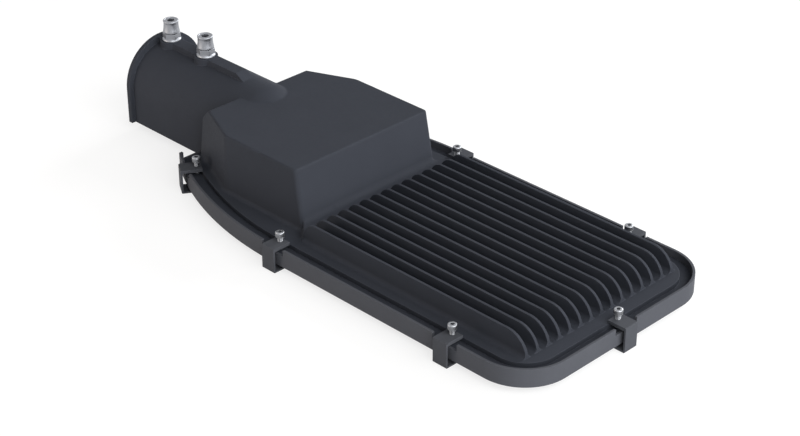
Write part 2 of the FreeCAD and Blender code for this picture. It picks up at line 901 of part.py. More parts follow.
def gear_tray():
    """The plate that closes the bay and carries the gear."""
    corners = [(point.x, point.y) for point in bay_plan(plateau_top, tray_overlap)]
    plate = prism_z(corners, tray_bottom, tray_top)
    plate = plate.common(slab(recess_inset + tray_gap, tray_bottom, tray_top))
    holes = []
    for x, y in tray_screw_places():
        holes.append(rod_z(tray_screw_radius + hole_play, x, y, tray_bottom - 1, tray_top + 1))
    small = driver_screw_places() + surge_screw_places()
    small += terminal_screw_places() + cord_clamp_screw_places()
    for x, y in small:
        holes.append(rod_z(small_screw_radius + hole_play, x, y, tray_bottom - 1, tray_top + 1))
    return plate.cut(holes)


def tray_screws():
    length = tray_thickness + tray_screw_bite
    screw = pan_screw(tray_screw_radius, length, tray_screw_head_radius, tray_screw_head_height)
    return Part.makeCompound([moved(screw, x, y, tray_bottom) for x, y in tray_screw_places()])


def small_screws(places, seat):
    """Screws that point down through the tray, with their heads on a seat above it."""
    tip = tray_bottom - small_screw_tail
    shank = rod_z(small_screw_radius, 0, 0, tip, seat)
    head = Part.makeCone(small_screw_head_radius, small_screw_head_radius * 0.8, small_screw_head_height,
                         vec(0, 0, seat))
    screw = shank.fuse(head)
    return Part.makeCompound([moved(screw, x, y, 0) for x, y in places])


def led_driver():
    top = tray_top + driver_height
    half = driver_half_width
    case = block(driver_rear, driver_front, -half, half, tray_top, top)
    ears = block(driver_rear - driver_ear_length, driver_front + driver_ear_length, -half, half,
                 tray_top, tray_top + driver_ear_thickness)
    cuts = []
    for index in range(driver_groove_count):
        y = (index - (driver_groove_count - 1) / 2) * half * 2 / driver_groove_count
        cuts.append(block(driver_rear - 1, driver_front + 1, y - driver_groove_width / 2,
                          y + driver_groove_width / 2, top - driver_groove_depth, top + 1))
    for x, y in driver_screw_places():
        cuts.append(rod_z(small_screw_radius + hole_play, x, y, tray_top - 1, top))
    return case.fuse(ears).cut(cuts)


def driver_screws():
    return small_screws(driver_screw_places(), tray_top + driver_ear_thickness)


def terminal_block():
    """A stepped block with a wire port under each pole."""
    x0 = terminal_x - terminal_length / 2
    y0 = terminal_y - terminal_width / 2
    x1 = x0 + terminal_length
    y1 = y0 + terminal_width
    body = block(x0, x1, y0, y1, tray_top, tray_top + terminal_height)
    pole = terminal_length / terminal_poles
    shelf_z = tray_top + terminal_height - terminal_shelf
    side = terminal_width / 4
    cuts = []
    for index in range(terminal_poles):
        x = x0 + pole * (index + 0.5)
        well = pole / 2 - 1
        cuts.append(block(x - well, x + well, y0 - 1, y0 + side, shelf_z, tray_top + terminal_height + 1))
        cuts.append(block(x - well, x + well, y1 - side, y1 + 1, shelf_z, tray_top + terminal_height + 1))
        port_z = tray_top + (terminal_height - terminal_shelf) / 2
        port = Part.makeCylinder(terminal_port_radius, side + 1, vec(x, y0 - 1, port_z), vec(0, 1, 0))
        cuts.append(port)
    for x, y in terminal_screw_places():
        top = tray_top + terminal_height + 1
        cuts.append(rod_z(small_screw_radius + hole_play, x, y, tray_top - 1, top))
    return body.cut(cuts)


def terminal_screws():
    return small_screws(terminal_screw_places(), tray_top + terminal_height)


def surge_protector():
    half_x = surge_length / 2
    half_y = surge_width / 2
    body = block(surge_x - half_x, surge_x + half_x, surge_y - half_y, surge_y + half_y,
                 tray_top, tray_top + surge_height)
    body = rounded(body, 2.0, lambda a, b: near(a.x, b.x) and near(a.y, b.y))
    reach = half_x + surge_ear_length
    ears = block(surge_x - reach, surge_x + reach, surge_y - half_y * 0.7, surge_y + half_y * 0.7,
                 tray_top, tray_top + surge_ear_thickness)
    holes = []
    for x, y in surge_screw_places():
        holes.append(rod_z(small_screw_radius + hole_play, x, y, tray_top - 1, tray_top + surge_height))
    return body.fuse(ears).cut(holes)


def surge_screws():
    return small_screws(surge_screw_places(), tray_top + surge_ear_thickness)


def cord_clamp_bar():
    """A bar with an arch over the place of the cord."""
    half = cord_clamp_span / 2
    x0 = cord_clamp_x - cord_clamp_width / 2
    x1 = cord_clamp_x + cord_clamp_width / 2
    bar = block(x0, x1, -half, half, tray_top, tray_top + cord_clamp_thickness)
    outer = Part.makeCylinder(cord_clamp_arch + 2.5, cord_clamp_width, vec(x0, 0, tray_top), vec(1, 0, 0))
    inner = Part.makeCylinder(cord_clamp_arch, cord_clamp_width + 2, vec(x0 - 1, 0, tray_top), vec(1, 0, 0))
    below = block(x0 - 1, x1 + 1, -half, half, tray_top - 20, tray_top)
    holes = []
    for x, y in cord_clamp_screw_places():
        holes.append(rod_z(small_screw_radius + hole_play, x, y, tray_top - 1, tray_top + 20))
    return bar.fuse(outer).cut([inner, below] + holes)


def cord_clamp_screws():
    return small_screws(cord_clamp_screw_places(), tray_top + cord_clamp_thickness)


# Cable gland

def cable_gland():
    """The gland: hexagon and cap in the bay, thread back through the socket's end wall."""
    wall = socket_depth + socket_end_wall
    hex_end = wall + gland_hex_length
    cap_end = hex_end + gland_cap_length
    body = hexagon_x(gland_hex, wall, hex_end)
    cap = rod_x(gland_cap_radius, hex_end, cap_end)
    cap = rounded(cap, gland_cap_rounding, lambda a, b: near(a.x, cap_end) and near(b.x, cap_end))
    thread = rod_x(gland_thread_radius, wall - gland_thread_length, wall)
    return joined([body, cap, thread]).cut(rod_x(gland_bore_radius, socket_depth, cap_end + 1))


def gland_nut():
    """The nut on the gland's thread, sunk in the pocket of the end wall."""
    end = socket_depth + gland_pocket_depth
    nut = hexagon_x(gland_hex, end - gland_nut_length, end)
    return nut.cut(rod_x(gland_thread_radius + hole_play, socket_depth, end + 1))


def nodes():
    """Every piece by its node name."""
    pieces = {"housing": housing(), "bezel_frame": bezel_frame()}
    pieces["glass_gasket"] = glass_gasket()
    pieces["glass_pane"] = glass_pane()
    for name in clip_places():
        pieces["clip_" + name] = clip(name)
    pieces["clip_screws"] = clip_screws()
    pieces["clamp_screws"] = clamp_screws()
    pieces["clamp_nuts"] = clamp_nuts()
    for index, centre in enumerate(module_centres()):
        number = str(index + 1)
        pieces["led_board_" + number] = moved(led_board(), centre, 0, 0)
        pieces["led_chips_" + number] = moved(led_chips(), centre, 0, 0)
        pieces["lens_plate_" + number] = moved(lens_plate(), centre, 0, 0)
    pieces["module_screws"] = module_screws()
    pieces["gear_tray"] = gear_tray()
    pieces["tray_screws"] = tray_screws()
    pieces["led_driver"] = led_driver()
    pieces["driver_screws"] = driver_screws()
    pieces["terminal_block"] = terminal_block()
    pieces["terminal_screws"] = terminal_screws()
    pieces["surge_protector"] = surge_protector()
    pieces["surge_screws"] = surge_screws()
    pieces["cord_clamp_bar"] = cord_clamp_bar()
    pieces["cord_clamp_screws"] = cord_clamp_screws()
    pieces["cable_gland"] = cable_gland()
    pieces["gland_nut"] = gland_nut()
    return pieces


os.makedirs("parts", exist_ok=True)
for name, shape in nodes().items():
    shape.exportStep("parts/" + name + ".step")
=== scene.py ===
import math

import bmesh
import bpy
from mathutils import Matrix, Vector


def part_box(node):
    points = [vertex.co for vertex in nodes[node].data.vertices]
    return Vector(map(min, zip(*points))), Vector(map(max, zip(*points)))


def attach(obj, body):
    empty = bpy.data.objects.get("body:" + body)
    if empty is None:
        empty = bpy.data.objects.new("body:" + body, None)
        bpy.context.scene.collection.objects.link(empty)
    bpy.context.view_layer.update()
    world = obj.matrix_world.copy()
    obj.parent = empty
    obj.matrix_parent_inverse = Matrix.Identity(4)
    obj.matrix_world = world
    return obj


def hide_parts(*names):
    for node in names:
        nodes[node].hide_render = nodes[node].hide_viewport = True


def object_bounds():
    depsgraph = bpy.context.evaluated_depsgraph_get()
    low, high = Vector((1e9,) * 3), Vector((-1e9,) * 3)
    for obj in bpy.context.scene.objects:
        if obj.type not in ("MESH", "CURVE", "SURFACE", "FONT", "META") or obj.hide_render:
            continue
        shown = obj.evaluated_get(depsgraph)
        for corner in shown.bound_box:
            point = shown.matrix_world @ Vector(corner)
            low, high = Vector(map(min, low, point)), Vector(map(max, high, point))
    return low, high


# Looks of the street light head, in metres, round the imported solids.
# X runs from the pole socket to the light end, Z is up.

# Camera
camera_place = (1.1984, -0.9150, 0.7240)
camera_turn = (60.0, 0.0, 45.0)
camera_lens = 88.03
camera_sensor = 36.0
camera_near = 0.01
camera_far = 100.0

# Lamps, each with its place, size, power in watts and colour, all facing the head's middle
head_middle = 0.25
plain_white = (1.0, 1.0, 1.0)
lamps = {
    "front_lamp": ((2.5, -0.2, 1.2), 3.2, 113.0, plain_white),
    "far_lamp": ((0.3, 2.4, 0.9), 1.6, 60.0, plain_white),
    "socket_lamp": ((-0.30, -0.78, 0.16), 0.5, 2.9, (1.0, 0.88, 0.76)),
}

# Backdrop as it is seen, and the plain light that it throws on the head
seen_light = 1.0
studio_light = 0.18

# Floor: its grey for the head's light and for the camera, and a glow that grows over a distance
floor_size = 60.0
floor_gap = 0.0001
floor_grey = 0.80
seen_floor_grey = 0.30
floor_sweep = (0.8, 2.5)
floor_glow = (0.75, 1.0)

# Colours, as linear light
casting_grey = (0.042, 0.046, 0.057)
frame_grey = (0.084, 0.088, 0.101)
clip_grey = (0.073, 0.077, 0.088)
stainless_grey = (0.31, 0.32, 0.34)
zinc_grey = (0.29, 0.30, 0.325)
tray_white = (0.66, 0.66, 0.65)
seal_grey = (0.035, 0.035, 0.037)
nylon_black = (0.022, 0.022, 0.024)
board_white = (0.78, 0.79, 0.78)
chip_white = (0.80, 0.80, 0.78)
chip_yellow = (0.80, 0.50, 0.04)
driver_white = (0.70, 0.71, 0.70)
terminal_grey = (0.60, 0.60, 0.57)
surge_blue = (0.060, 0.110, 0.220)
glass_tint = (0.97, 0.99, 0.98)
lens_tint = (0.98, 0.98, 0.98)

# Roundness that the edges show, which also sets the width of the painted edge highlight, and the height of
# each finish's grain
casting_edge = 0.0009
frame_edge = 0.0005
clip_edge = 0.0003
tray_edge = 0.0004
stainless_edge = 0.0003
zinc_edge = 0.0004
nylon_edge = 0.0004
casting_grain = 0.00003
plain_grain = 0.00002
metal_grain = 0.00001
lacquer_grain = 0.000005
edge_samples = 6

# How far a paint shines
coat_gloss = 0.02
tray_gloss = 0.3

# How well the rounded and the real direction agree, on the flat and at a sharp edge
edge_agreement = (0.995, 0.90)

# Where a noise pattern has most of its values, and how far the roughness swings with it
noise_ends = (0.3, 0.7)
metal_swing = 0.06
moulded_swing = 0.05

# Corners of the round and six-sided shapes
hexagon_corners = 6
large_round = 64
nut_round = 48
knurls = 44
pan_round = 40
hole_round = 24
window_round = 20

# Screws of the clips, which stand at x, y and a turn in degrees
clip_screw_radius = 0.002
clip_screw_length = 0.0107
clip_screw_tip = -0.0228
clip_thread_pitch = 0.0007
clip_thread_steps = 24
end_clip_screw = (0.4976, 0.0, 0.0)
side_clip_screws = ((0.4294, 0.0952, 90.0), (0.2528, 0.0952, 75.0), (0.11895, 0.063649, 121.0))

# Their heads, with shares of the radius and heights above the seat
clip_head_radius = 0.0035
clip_head_height = 0.004
clip_head_profile = ((0.92, 0.0), (1.0, 0.0002), (1.0, 0.0031), (0.98, 0.0034), (0.93, 0.0037),
                     (0.84, 0.0039), (0.74, clip_head_height))
clip_hexagon = 0.003
clip_hexagon_depth = 0.0022
knurl_low = 0.0003
knurl_high = 0.0030
knurl_land = 0.00006
knurl_depth = 0.0001

# Clamp screws of the pole socket, with radii and heights above the seat
clamp_xs = (0.0151, 0.059)
clamp_screw_radius = 0.004
clamp_screw_length = 0.015
clamp_screw_tip = 0.0315
clamp_screw_turn = 2.0
clamp_thread_pitch = 0.00125
clamp_thread_steps = 32
clamp_head_height = 0.0105
clamp_head_profile = ((0.0066, 0.0), (0.0070, 0.0003), (0.0070, 0.0008), (0.0067, 0.0022),
                      (0.00635, 0.0045), (0.0062, 0.0070), (0.0062, 0.0086), (0.0064, 0.0091),
                      (0.0065, 0.0095), (0.0065, 0.0100), (0.0063, 0.0103), (0.0060, clamp_head_height),
                      (0.0053, clamp_head_height), (0.0050, clamp_head_height - 0.0004))
clamp_hexagon = 0.006
clamp_hexagon_depth = 0.005

# Flange nuts of the clamp screws: the hexagon starts inside the flange, and the chamfer's cone
# runs on past the hexagon's top
nut_across_flats = 0.013
nut_height = 0.0067
nut_foot = 0.0005
nut_bore = 0.00402
nut_chamfer_profile = ((0.0079, 0.0), (0.0079, 0.0058), (0.0053, 0.0076))
nut_flange_profile = ((0.0077, 0.0), (0.0079, 0.0002), (0.0079, 0.0008), (0.0074, 0.0016), (0.0066, 0.0022))
clamp_nut_seat = 0.0395
clamp_nut_turn = 12.0

# Shape of a thread, in pitches, and how far a shank runs up into its head
thread_depth = 0.6
thread_flank = 0.4
thread_crest = 0.15
thread_root = 0.05
spare_turns = 2
shank_in_head = 0.0003

# Drilled point at the foot of a hexagon socket, in shares of the hexagon's corner radius
drill_depth = 0.35
drill_tip = 0.2

# Cross-recessed screws, each with its radius, length, head radius and head height
module_screw = (0.0015, 0.0059, 0.0028, 0.0016)
tray_screw = (0.002, 0.0092, 0.0038, 0.0024)
small_screw_radius = 0.0015
small_head_radius = 0.003
small_head_height = 0.002
small_thread_pitch = 0.34
small_thread_steps = 16
cross_turn = 37.0

# Their heads and crosses, in shares of the head's radius and height
pan_profile = ((0.95, 0.0), (1.0, 0.06), (1.0, 0.25), (0.97, 0.45), (0.88, 0.68), (0.70, 0.86),
               (0.42, 0.97), (0.15, 1.0))
cross_length = 1.15
cross_width = 0.26
cross_depth = 0.75
cross_taper = 0.55
cross_past = 0.0002

# Light modules, seen from below
module_xs = (0.303, 0.375, 0.447)
module_length = 0.070
module_width = 0.152
module_screw_corner = (0.0305, 0.0715)
board_bottom = -0.0239
lens_plate_bottom = -0.0257
plate_thickness = board_bottom - lens_plate_bottom
plate_corner = 0.003
plate_chamfer = 0.0004
plate_hole = 0.0016

# Lenses, with shares of the half length and width and of the height
# The swell makes up for what the smoothing takes off.
lens_columns = 6
lens_row_pitch = 0.035
lens_column_pitch = 0.023937
lens_length = 0.020
lens_width = 0.015
lens_height = 0.0024
lens_sink = 0.0004
lens_swell = 1.1
lens_corners = 8
lens_smoothing = 2
lens_profile = ((1.0, 0.0), (1.0, 0.30), (0.97, 0.55), (0.88, 0.85), (0.70, 1.06), (0.48, 1.10),
                (0.28, 1.00), (0.12, 0.86), (0.04, 0.82))

# Light chips and their pockets in the plate, with heights below the board
pocket_size = 0.007
pocket_depth = 0.0011
pocket_corner = 0.001
chip_size = 0.005
chip_height = 0.0005
chip_rim = 0.0003
chip_lip = 0.0001
chip_window_seat = 0.0004
chip_window_profile = ((0.0019, 0.0), (0.0019, -0.00015), (0.0017, -0.00028), (0.0012, -0.00036),
                       (0.0005, -0.0004))
chip_colour_line = 0.00063
chip_line_blur = 0.00002

# Gear tray's screws on one side of the head
tray_bottom = -0.0235
tray_screw_places = ((0.121, 0.037), (0.172, 0.061), (0.238, 0.061))

# Cable gland's lock nut
gland_across_flats = 0.024
gland_bore = 0.01005
gland_chamfer = 0.0011
gland_corner_gap = 0.0002

# Values that all the modelling shares
origin = (0.0, 0.0, 0.0)
upside_down = (math.pi, 0.0, 0.0)
up_to_front = (0.0, math.pi / 2, 0.0)
smooth_angle = 35.0
merge_distance = 0.000001
thread_merge_distance = 0.00001
cut_past = 0.001
nearly_down = -0.9
nearly_level = 0.1
place_digits = 5

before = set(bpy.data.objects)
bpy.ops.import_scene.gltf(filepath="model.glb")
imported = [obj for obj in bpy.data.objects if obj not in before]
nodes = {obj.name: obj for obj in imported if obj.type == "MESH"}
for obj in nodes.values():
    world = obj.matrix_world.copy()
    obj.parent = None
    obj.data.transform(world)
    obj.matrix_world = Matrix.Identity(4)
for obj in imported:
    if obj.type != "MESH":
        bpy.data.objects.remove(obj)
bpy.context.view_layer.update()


# Materials

def new_material(name):
    """An empty node material with its shader and its object coordinates."""
    material = bpy.data.materials.new(name)
    material.use_nodes = True
    tree = material.node_tree
    tree.nodes.clear()
    output = tree.nodes.new("ShaderNodeOutputMaterial")
    shader = tree.nodes.new("ShaderNodeBsdfPrincipled")
    place = tree.nodes.new("ShaderNodeTexCoord")
    tree.links.new(shader.outputs["BSDF"], output.inputs["Surface"])
    return material, tree, shader, place.outputs["Object"]


def noise(tree, place, scale, detail=3.0, fineness=0.5):
    """A noise pattern with so many features to the metre."""
    node = tree.nodes.new("ShaderNodeTexNoise")
    node.inputs["Scale"].default_value = scale
    node.inputs["Detail"].default_value = detail
    node.inputs["Roughness"].default_value = fineness
    tree.links.new(place, node.inputs["Vector"])
    return node.outputs["Fac"]


def spread(tree, value, ends, results=(0.0, 1.0)):
    """Turns a value between two ends into one between two results."""
    node = tree.nodes.new("ShaderNodeMapRange")
    node.inputs["From Min"].default_value = ends[0]
    node.inputs["From Max"].default_value = ends[1]
    node.inputs["To Min"].default_value = results[0]
    node.inputs["To Max"].default_value = results[1]
    tree.links.new(value, node.inputs["Value"])
    return node.outputs["Result"]


def two_tones(tree, pattern, first, second):
    """Blends two colours by a pattern; the first may be a blend itself."""
    node = tree.nodes.new("ShaderNodeMix")
    node.data_type = "RGBA"
    if isinstance(first, tuple):
        node.inputs["A"].default_value = (*first, 1.0)
    else:
        tree.links.new(first, node.inputs["A"])
    node.inputs["B"].default_value = (*second, 1.0)
    tree.links.new(pattern, node.inputs["Factor"])
    return node.outputs["Result"]


def shade_of(colour, share):
    """A darker or lighter tone of a colour."""
    return tuple(channel * share for channel in colour)


def rounded_normal(tree, radius):
    """The surface's direction with its edges rounded to a radius."""
    bevel = tree.nodes.new("ShaderNodeBevel")
    bevel.samples = edge_samples
    bevel.inputs["Radius"].default_value = radius
    return bevel.outputs["Normal"]


def edges(tree, radius):
    """Bright where the surface turns sharply within a radius: the mask of the painted edge highlight."""
    surface = tree.nodes.new("ShaderNodeNewGeometry")
    along = tree.nodes.new("ShaderNodeVectorMath")
    along.operation = "DOT_PRODUCT"
    tree.links.new(rounded_normal(tree, radius), along.inputs[0])
    tree.links.new(surface.outputs["Normal"], along.inputs[1])
    return spread(tree, along.outputs["Value"], edge_agreement)


def colour_by(tree, shader, tone):
    """Gives the shader its colour."""
    tree.links.new(tone, shader.inputs["Base Color"])


def roughen(tree, shader, pattern, low, high):
    """Varies the roughness between two ends by a noise pattern."""
    tree.links.new(spread(tree, pattern, noise_ends, (low, high)), shader.inputs["Roughness"])


def bumps(tree, shader, pattern, height, edge=0.0):
    """Raises the surface by a pattern, on edges rounded to a radius."""
    bump = tree.nodes.new("ShaderNodeBump")
    bump.inputs["Strength"].default_value = 1.0
    bump.inputs["Distance"].default_value = height
    tree.links.new(pattern, bump.inputs["Height"])
    if edge:
        tree.links.new(rounded_normal(tree, edge), bump.inputs["Normal"])
    tree.links.new(bump.outputs["Normal"], shader.inputs["Normal"])


def powder_coat(name, colour, edge, grain, gloss=coat_gloss):
    """Powder coat on cast or sheet metal: fine grain, faint clouds, soft sheen, and a painted highlight
    that lightens its edges.
    """
    material, tree, shader, place = new_material(name)
    dark = shade_of(colour, 0.90)
    light = shade_of(colour, 1.10)
    # painted highlight: a lighter tone of the colour, laid along sharp edges by the edge mask
    painted_edge_highlight = shade_of(colour, 1.3)
    clouds = noise(tree, place, scale=35.0, detail=7.0, fineness=0.75)
    colour_by(tree, shader, two_tones(tree, edges(tree, edge), two_tones(tree, clouds, dark, light), painted_edge_highlight))
    roughen(tree, shader, noise(tree, place, scale=420.0), low=0.52, high=0.62)
    shader.inputs["Specular IOR Level"].default_value = gloss
    bumps(tree, shader, noise(tree, place, scale=1500.0, detail=2.0), grain, edge)
    return material


def bare_metal(name, colour, roughness, scale, grain, edge):
    """Plated or stainless metal, dappled at a scale."""
    material, tree, shader, place = new_material(name)
    dull = shade_of(colour, 0.9)
    colour_by(tree, shader, two_tones(tree, noise(tree, place, scale=150.0), dull, colour))
    roughen(tree, shader, noise(tree, place, scale), roughness - metal_swing, roughness + metal_swing)
    shader.inputs["Metallic"].default_value = 1.0
    bumps(tree, shader, noise(tree, place, scale * 2), grain, edge)
    return material


def moulded(name, colour, roughness, grain, edge=0.0):
    """Moulded plastic, rubber or board lacquer."""
    material, tree, shader, place = new_material(name)
    dull = shade_of(colour, 0.93)
    smooth = roughness - moulded_swing
    rough = roughness + moulded_swing
    colour_by(tree, shader, two_tones(tree, noise(tree, place, scale=60.0), dull, colour))
    roughen(tree, shader, noise(tree, place, scale=500.0), smooth, rough)
    bumps(tree, shader, noise(tree, place, scale=1200.0), grain, edge)
    return material


def light_chip(name, frame_colour, window_colour, line):
    """A light chip: pale frame, and a yellow window below the height of a line."""
    material, tree, shader, place = new_material(name)
    split = tree.nodes.new("ShaderNodeSeparateXYZ")
    tree.links.new(place, split.inputs["Vector"])
    window = spread(tree, split.outputs["Z"], (line + chip_line_blur, line - chip_line_blur))
    dull = shade_of(frame_colour, 0.95)
    pale = two_tones(tree, noise(tree, place, scale=900.0), dull, frame_colour)
    colour_by(tree, shader, two_tones(tree, window, pale, window_colour))
    roughen(tree, shader, noise(tree, place, scale=1500.0), low=0.30, high=0.42)
    return material


def clear(name, colour, index, roughness):
    """Glass or clear plastic."""
    material, tree, shader, place = new_material(name)
    dull = shade_of(colour, 0.99)
    colour_by(tree, shader, two_tones(tree, noise(tree, place, scale=8.0), dull, colour))
    roughen(tree, shader, noise(tree, place, scale=40.0), low=0.0, high=roughness)
    shader.inputs["Transmission Weight"].default_value = 1.0
    shader.inputs["IOR"].default_value = index
    return material


casting = powder_coat("casting_powder_coat", casting_grey, casting_edge, casting_grain)
rim_paint = powder_coat("rim_powder_coat", frame_grey, frame_edge, plain_grain)
clip_paint = powder_coat("clip_powder_coat", clip_grey, clip_edge, plain_grain)
tray_paint = powder_coat("tray_white_paint", tray_white, tray_edge, metal_grain, tray_gloss)
stainless = bare_metal("stainless_steel", stainless_grey, roughness=0.40, scale=700.0,
                       grain=metal_grain, edge=stainless_edge)
zinc_plate = bare_metal("zinc_plate", zinc_grey, roughness=0.44, scale=500.0,
                        grain=metal_grain, edge=zinc_edge)
silicone = moulded("silicone_seal", seal_grey, roughness=0.60, grain=plain_grain)
black_nylon = moulded("black_nylon", nylon_black, roughness=0.45, grain=plain_grain, edge=nylon_edge)
board_lacquer = moulded("board_lacquer", board_white, roughness=0.35, grain=lacquer_grain)
driver_case = moulded("driver_case", driver_white, roughness=0.45, grain=plain_grain)
terminal_body = moulded("terminal_moulding", terminal_grey, roughness=0.50, grain=plain_grain)
surge_case = moulded("surge_case", surge_blue, roughness=0.45, grain=plain_grain)
phosphor = light_chip("chip_phosphor", chip_white, chip_yellow, board_bottom - chip_colour_line)
pane = clear("toughened_glass", glass_tint, index=1.52, roughness=0.01)
optic = clear("lens_acrylic", lens_tint, index=1.49, roughness=0.06)

finish_of_slot = {
    "housing": casting,
    "frame": rim_paint,
    "clip": clip_paint,
    "seal": silicone,
    "glass": pane,
    "steel": stainless,
    "board": board_lacquer,
    "chip": phosphor,
    "lens": optic,
    "tray": tray_paint,
    "driver": driver_case,
    "terminal": terminal_body,
    "surge": surge_case,
    "nylon": black_nylon,
}


def dress_nodes():
    """Gives every solid its finish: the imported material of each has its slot's name."""
    for piece in nodes.values():
        slots = piece.data.materials
        for index in range(len(slots)):
            slots[index] = finish_of_slot[slots[index].name]


dress_nodes()


# Modelling

def choose_only(*chosen):
    """Selects some pieces and nothing else, the first of them active."""
    bpy.ops.object.select_all(action="DESELECT")
    for piece in chosen:
        piece.select_set(True)
    bpy.context.view_layer.objects.active = chosen[0]


def choose(piece, kind, test):
    """In edit mode, selects the faces or the edges that pass a test."""
    bpy.ops.mesh.select_all(action="DESELECT")
    bpy.ops.mesh.select_mode(type=kind)
    mesh = bmesh.from_edit_mesh(piece.data)
    for shape in mesh.faces if kind == "FACE" else mesh.edges:
        if test(shape):
            shape.select_set(True)
    bmesh.update_edit_mesh(piece.data)


def looks_down(face):
    """True for a face that looks down."""
    return face.normal.z < nearly_down


def stands_upright(edge):
    """True for an edge with one end above the other."""
    run = edge.verts[0].co - edge.verts[1].co
    return math.hypot(run.x, run.y) < merge_distance


def is_knurled(face):
    """True for a face in the side of a clip screw's head."""
    return knurl_low < face.calc_center_median().z < knurl_high and abs(face.normal.z) < nearly_level


def settle(piece):
    """Puts a piece's place in its mesh and smooths its gentle edges."""
    choose_only(piece)
    bpy.ops.object.transform_apply(location=True, rotation=True, scale=True)
    bpy.ops.object.shade_smooth_by_angle(angle=math.radians(smooth_angle))


def close(piece):
    """Leaves edit mode with a merged mesh that faces outwards and has its place in it."""
    bpy.ops.mesh.select_all(action="SELECT")
    bpy.ops.mesh.remove_doubles(threshold=merge_distance)
    bpy.ops.mesh.normals_make_consistent(inside=False)
    bpy.ops.object.mode_set(mode="OBJECT")
    settle(piece)


def start_ring(name, corners, radius, place):
    """A filled ring of corners in edit mode, from which a piece is drawn up."""
    bpy.ops.object.select_all(action="DESELECT")
    bpy.ops.mesh.primitive_circle_add(vertices=corners, radius=radius, fill_type="NGON",
                                      enter_editmode=True, location=place)
    piece = bpy.context.active_object
    piece.name = name
    return piece


def draw(place, profile):
    """Draws the chosen ring along Z through a profile of radii and heights above its place."""
    x, y, z = place
    radius, reached = profile[0]
    for next_radius, height in profile[1:]:
        share = next_radius / radius
        bpy.ops.mesh.extrude_region_move(TRANSFORM_OT_translate={"value": (0.0, 0.0, height - reached)})
        bpy.ops.transform.resize(value=(share, share, 1.0), center_override=(x, y, z + height))
        radius = next_radius
        reached = height


def lathe(name, corners, place, profile):
    """A finished piece drawn from a ring through a profile of radii and heights."""
    piece = start_ring(name, corners, profile[0][0], place)
    draw(place, profile)
    close(piece)
    return piece


def bore(name, corners, radius, foot, length):
    """A round cutter for a hole of a length above its foot; it reaches past both ends."""
    x, y, z = foot
    return lathe(name, corners, (x, y, z - cut_past), ((radius, 0.0), (radius, length + 2 * cut_past)))


def block(name, size, place):
    """A cuboid in edit mode, for shaping."""
    bpy.ops.object.select_all(action="DESELECT")
    bpy.ops.mesh.primitive_cube_add(size=1.0, enter_editmode=True, location=place)
    piece = bpy.context.active_object
    piece.name = name
    bpy.ops.transform.resize(value=size, center_override=place)
    return piece


def round_corners(piece, radius, segments):
    """Rounds the upright edges of a block."""
    choose(piece, "EDGE", stands_upright)
    bpy.ops.mesh.bevel(offset=radius, segments=segments)


def step_bottom(piece, rim, drop):
    """Lowers the bottom of a block inside its slanted rim."""
    choose(piece, "FACE", looks_down)
    bpy.ops.mesh.inset(thickness=rim)
    bpy.ops.transform.translate(value=(0.0, 0.0, -drop))


def join_pieces(parts, name):
    """Makes several meshes one piece."""
    choose_only(*parts)
    bpy.ops.object.join()
    piece = bpy.context.active_object
    piece.name = name
    return piece


def combine(piece, other, operation):
    """Cuts, unites or crosses a piece with another mesh, which is used up."""
    choose_only(piece)
    bpy.ops.object.modifier_add(type="BOOLEAN")
    modifier = piece.modifiers[-1]
    modifier.operation = operation
    modifier.solver = "EXACT"
    modifier.object = other
    bpy.ops.object.modifier_apply(modifier=modifier.name)
    bpy.data.objects.remove(other)


def copied(piece, place, turn=0.0):
    """A copy with its own mesh, turned about Z and moved."""
    choose_only(piece)
    bpy.ops.object.duplicate()
    copy = bpy.context.active_object
    copy.rotation_euler = (0.0, 0.0, math.radians(turn))
    copy.location = place
    bpy.ops.object.transform_apply(location=True, rotation=True, scale=True)
    return copy


def tumble(piece, turn):
    """Turns a finished piece over about the origin."""
    piece.rotation_euler = turn
    settle(piece)


def put_in_place(piece, slot_name, finish, *node_names):
    """Gives a piece its finish and puts it in the place of the plain solids."""
    piece.data.materials.clear()
    piece.data.materials.append(finish)
    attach(piece, "root")
    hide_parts(*node_names)


# Screws and nuts

def thread_outline(radius, pitch, length):
    """A toothed line of vertices up one side of a rod, in a piece of its own, past both ends."""
    bpy.ops.object.select_all(action="DESELECT")
    bpy.ops.mesh.primitive_plane_add(size=pitch, enter_editmode=True, location=origin)
    rod = bpy.context.active_object
    bpy.ops.mesh.select_mode(type="VERT")
    bpy.ops.mesh.select_all(action="SELECT")
    bpy.ops.mesh.merge(type="CENTER")
    depth = thread_depth * pitch
    bpy.ops.transform.translate(value=(radius - depth, 0.0, -pitch))
    tooth = ((depth, thread_flank), (0.0, thread_crest), (-depth, thread_flank), (0.0, thread_root))
    for turn in range(math.ceil(length / pitch) + spare_turns):
        for across, up in tooth:
            bpy.ops.mesh.extrude_vertices_move(TRANSFORM_OT_translate={"value": (across, 0.0, up * pitch)})
    bpy.ops.object.mode_set(mode="OBJECT")
    return rod


def trim_end(height, above):
    """In edit mode, cuts off all that lies above a height, or below it, and closes the cut."""
    bpy.ops.mesh.select_all(action="SELECT")
    bpy.ops.mesh.bisect(plane_co=(0.0, 0.0, height), plane_no=(0.0, 0.0, 1.0), use_fill=True,
                        clear_inner=not above, clear_outer=above, threshold=merge_distance)


def threaded_rod(radius, pitch, length, steps):
    """A rod with a screw thread, from the origin up."""
    rod = thread_outline(radius, pitch, length)
    bpy.ops.object.modifier_add(type="SCREW")
    wind = rod.modifiers[-1]
    wind.screw_offset = pitch
    wind.steps = steps
    wind.render_steps = steps
    bpy.ops.object.modifier_apply(modifier=wind.name)
    bpy.ops.object.mode_set(mode="EDIT")
    bpy.ops.mesh.select_all(action="SELECT")
    bpy.ops.mesh.remove_doubles(threshold=thread_merge_distance)
    trim_end(0.0, above=False)
    trim_end(length, above=True)
    close(rod)
    return rod


def hexagon_corner(across_flats):
    """How far a hexagon's corners lie from its middle."""
    return across_flats / math.sqrt(3)


